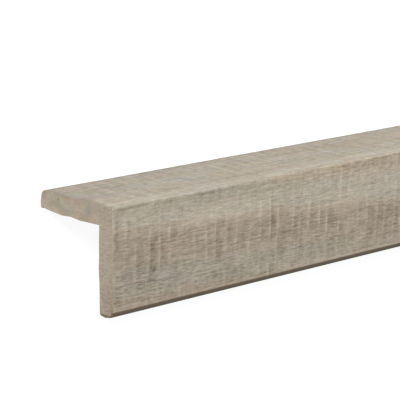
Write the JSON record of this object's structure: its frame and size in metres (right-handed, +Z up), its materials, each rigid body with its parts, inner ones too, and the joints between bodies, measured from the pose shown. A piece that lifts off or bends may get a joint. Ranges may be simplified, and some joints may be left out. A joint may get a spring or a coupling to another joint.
{
  "type": "corner guard moulding",
  "caption": "Straight L-section wood trim with a sawn, greyed face and rounded leg tips, which caps and protects the outside corner of a wall.",
  "frame": {"origin": "middle of the length, on the floor, half way between the two leg tips", "axes": "+X along the length, +Z up through the heel, the front leg on the -Y side and the back leg on the +Y side"},
  "size_m": [1.22, 0.0436, 0.0264],
  "materials": {
    "sawn_wood": "rough sawn, greyed, matt"
  },
  "bodies": {
    "root": {"corner_guard": "sawn_wood"}
  },
  "joints": []
}
